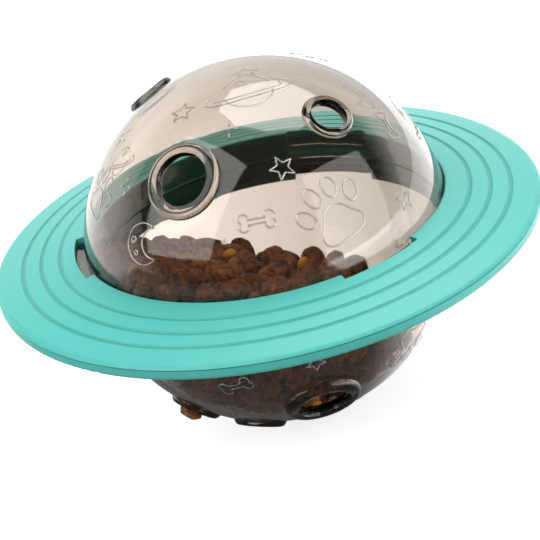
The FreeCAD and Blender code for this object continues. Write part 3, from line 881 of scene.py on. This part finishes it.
# %% Turn the lower shell over and let both take their solids' places
lower.data.transform(Matrix.Rotation(math.pi, 4, "X"))
for piece, node, body in ((upper, "upper_shell", "upper_half"), (lower, "lower_shell", "lower_half")):
    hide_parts(node)
    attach(piece, body)
    print(piece.name, "replaces", node, "and rides on", body)

# %% [markdown]
# ## The food
# The lower half is heaped with dry food: pressed and baked pieces, about 10 mm across and 7 mm
# thick, with rounded corners and a crumbly skin. A few different pieces are modelled, each from
# an icosphere that is flattened and knocked out of shape. Hundreds of places are then found by
# letting soft balls push each other apart inside the shell, and a piece is copied to each place.
# The food is the ball's contents, so it stays behind when the upper shell is lifted.

# %% Baked food: a dry, rough brown with darker crumbs
CRUMBS = 2.4 * MM

baked, tree = new_material("baked pet food")
spot = add_node(tree, "ShaderNodeTexCoord").outputs["Object"]
crumbs = add_node(tree, "ShaderNodeTexNoise", {
    "Vector": spot, "Scale": 1 / CRUMBS, "Detail": 3.0, "Roughness": 0.6})
tones = add_node(tree, "ShaderNodeValToRGB", {"Fac": crumbs.outputs["Fac"]})
tones.color_ramp.elements[0].position = 0.32
tones.color_ramp.elements[0].color = colour("#4A2915")
tones.color_ramp.elements[1].position = 0.66
tones.color_ramp.elements[1].color = colour("#B0703E")
one_piece = add_node(tree, "ShaderNodeNewGeometry")
shade = add_node(tree, "ShaderNodeMapRange", {
    "Value": one_piece.outputs["Random Per Island"], "To Min": 0.62, "To Max": 1.3})
toned = add_node(tree, "ShaderNodeVectorMath", {
    0: tones.outputs["Color"], "Scale": shade}, operation="SCALE")
pits = add_node(tree, "ShaderNodeBump", {
    "Height": crumbs.outputs["Fac"], "Strength": 0.4, "Distance": 0.4 * MM})
surface = add_node(tree, "ShaderNodeBsdfPrincipled", {
    "Base Color": toned, "Roughness": 0.85, "Normal": pits})
add_node(tree, "ShaderNodeOutputMaterial", {"Surface": surface})
print(baked.name, "with", len(tree.nodes), "nodes")

# %% Baked maize: the same dry skin in an even yellow
maize, tree = new_material("baked pet food of maize")
surface = add_node(tree, "ShaderNodeBsdfPrincipled", {
    "Base Color": colour("#E3A21E"), "Roughness": 0.75})
add_node(tree, "ShaderNodeOutputMaterial", {"Surface": surface})
print(maize.name, "with", len(tree.nodes), "nodes")

# %% A handful of different pieces
FOOD_REACH = 4.9 * MM
FOOD_FLATNESS = 0.72
FOOD_KINDS = 7
DENT_SIZE = MM / 0.26
chance = random.Random(7)


def food_piece(number):
    """One piece: a flattened, three-cornered lump."""
    bpy.ops.object.select_all(action="DESELECT")
    bpy.ops.mesh.primitive_ico_sphere_add(subdivisions=2, radius=FOOD_REACH)
    lump = bpy.context.active_object
    lump.name = f"food_{number}"
    for vert in lump.data.vertices:
        turn = math.atan2(vert.co.y, vert.co.x)
        corner = 1 + 0.09 * math.cos(3 * turn + number) + 0.04 * math.cos(2 * turn + 2 * number)
        dent = 1 + 0.22 * noise.noise(vert.co / DENT_SIZE + Vector((9 * number, 0, 0)))
        vert.co = Vector((vert.co.x * corner, vert.co.y * corner, vert.co.z * FOOD_FLATNESS)) * dent
    return lump


lumps = [food_piece(number) for number in range(FOOD_KINDS)]
print("kinds of food pieces", len(lumps), "faces each", len(lumps[0].data.polygons))

# %% The room for the food and the top of its heap
BALLS_APART = 9.5 * MM
FOOD_ROOM = 60.2 * MM
# The top falls to the right and to the back by these slopes, from this height at the axis.
HEAP = (-0.38, -0.33, -12.5 * MM)
# At its right side the heap slumps more steeply.
SLUMP = (-1.2, 16.8 * MM)


def heap_height(spots):
    """Height of the heap's top over each place."""
    top = HEAP[0] * spots[:, 0] + HEAP[1] * spots[:, 1] + HEAP[2]
    return numpy.minimum(top, SLUMP[0] * spots[:, 0] + SLUMP[1])


# %% Places for the pieces
GRID_REACH = 60 * MM
GRID_LAYERS = 20
GRID_STEP = BALLS_APART * 0.95
LAYER_STEP = GRID_STEP * 0.72
JITTER = 1.1 * MM
# A place is kept if it is this far from the wall and this far below the heap's top.
START_GAP, START_DEPTH = 3.6 * MM, 2.5 * MM
# Each round moves balls apart by a share of their overlap and lowers those that stand out of
# the heap by a share of that height, down to a depth below its top.
PUSH_ROUNDS = 80
PUSH_SHARE, SINK_SHARE = 0.25, 0.3
TOP_DEPTH = 1.5 * MM
WALL_GAP = 3.5 * MM


def loose_grid(draw):
    """Layers of places, each shifted against the next and every place moved a little by chance."""
    steps = numpy.arange(-GRID_REACH, GRID_REACH, GRID_STEP)
    grid = []
    for layer in range(GRID_LAYERS):
        shift = (layer % 2) * GRID_STEP / 2
        grid += [(x + shift, y + shift, -GRID_REACH + layer * LAYER_STEP) for x in steps for y in steps]
    grid = numpy.array(grid)
    return grid + draw.normal(0, JITTER, grid.shape)


def packed_places():
    """Centres of the pieces, pushed apart and kept inside the shell and below the heap's top."""
    draw = numpy.random.default_rng(5)
    grid = loose_grid(draw)
    inside = numpy.linalg.norm(grid, axis=1) < FOOD_ROOM - START_GAP
    below = grid[:, 2] < heap_height(grid) - START_DEPTH
    spots = grid[inside & below]
    sizes = draw.uniform(0.9, 1.1, len(spots))
    reach = sizes * BALLS_APART / 2
    others = 1 - numpy.eye(len(spots))
    for _ in range(PUSH_ROUNDS):
        gap = spots[:, None, :] - spots[None, :, :]
        far = numpy.linalg.norm(gap, axis=2) + numpy.eye(len(spots))
        push = numpy.clip(reach[:, None] + reach[None, :] - far, 0, None) * others
        spots = spots + PUSH_SHARE * (gap / far[:, :, None] * push[:, :, None]).sum(axis=1)
        over = numpy.clip(spots[:, 2] - heap_height(spots) + TOP_DEPTH, 0, None)
        spots[:, 2] -= SINK_SHARE * over
        room = FOOD_ROOM - WALL_GAP * sizes
        far = numpy.linalg.norm(spots, axis=1)
        spots *= numpy.minimum(1, room / far)[:, None]
    return spots, sizes


places, sizes = packed_places()
print("food pieces", len(places))

# %% Copy a piece to each place and join them
NEAR_WALL = 9 * MM
LEAN = 0.45


def copied(name, spots, sizes, material, limit):
    """Lumps copied to places and turned at random. Near the wall they lie flat against it."""
    verts, faces = [], []
    for spot, size in zip(spots, sizes):
        lump = chance.choice(lumps)
        spot = Vector(spot)
        leaning = Vector([chance.uniform(-1, 1) for _ in range(3)])
        near_wall = spot.length > FOOD_ROOM - NEAR_WALL
        upright = (spot.normalized() + LEAN * leaning) if near_wall else leaning
        spin = Matrix.Rotation(chance.uniform(0, math.tau), 3, "Z").to_quaternion()
        turned = upright.to_track_quat("Z", "Y") @ spin
        start = len(verts)
        verts += [turned @ (vert.co * float(size)) + spot for vert in lump.data.vertices]
        faces += [[start + index for index in face.vertices] for face in lump.data.polygons]
    verts = [vert if vert.length < limit else vert * (limit / vert.length) for vert in verts]
    mesh = bpy.data.meshes.new(name)
    mesh.from_pydata(verts, [], faces)
    piece = bpy.data.objects.new(name, mesh)
    bpy.context.scene.collection.objects.link(piece)
    only(piece)
    bpy.ops.object.shade_smooth()
    mesh.materials.append(material)
    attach(piece, "lower_half")
    print(name, "pieces", len(spots))


# %% The heap, and pieces on their way out of two ports
# No piece reaches past these distances from the ball's centre.
INSIDE_WALL = 60.3 * MM
OUT_OF_PORT = 70 * MM

copied("food", places, sizes, baked, INSIDE_WALL)
in_large_port = [direction(-43, -88) * 58.6 * MM, direction(-39, -77) * 57.5 * MM]
copied("food_in_large_port", in_large_port, [0.95, 1.0], baked, INSIDE_WALL)
in_small_port = [direction(-48.2, -153.4) * 64.2 * MM]
copied("food_in_small_port", in_small_port, [0.86], baked, OUT_OF_PORT)

# %% A few bits of another colour
maize_bits = [direction(-50.5, -85) * 59.6, Vector((9.5, 10, -17.5)), Vector((-14, 2, -4))]
copied("food_of_maize", [bit * MM for bit in maize_bits], [0.36, 0.5, 0.45], maize, INSIDE_WALL)
for lump in lumps:
    bpy.data.objects.remove(lump)
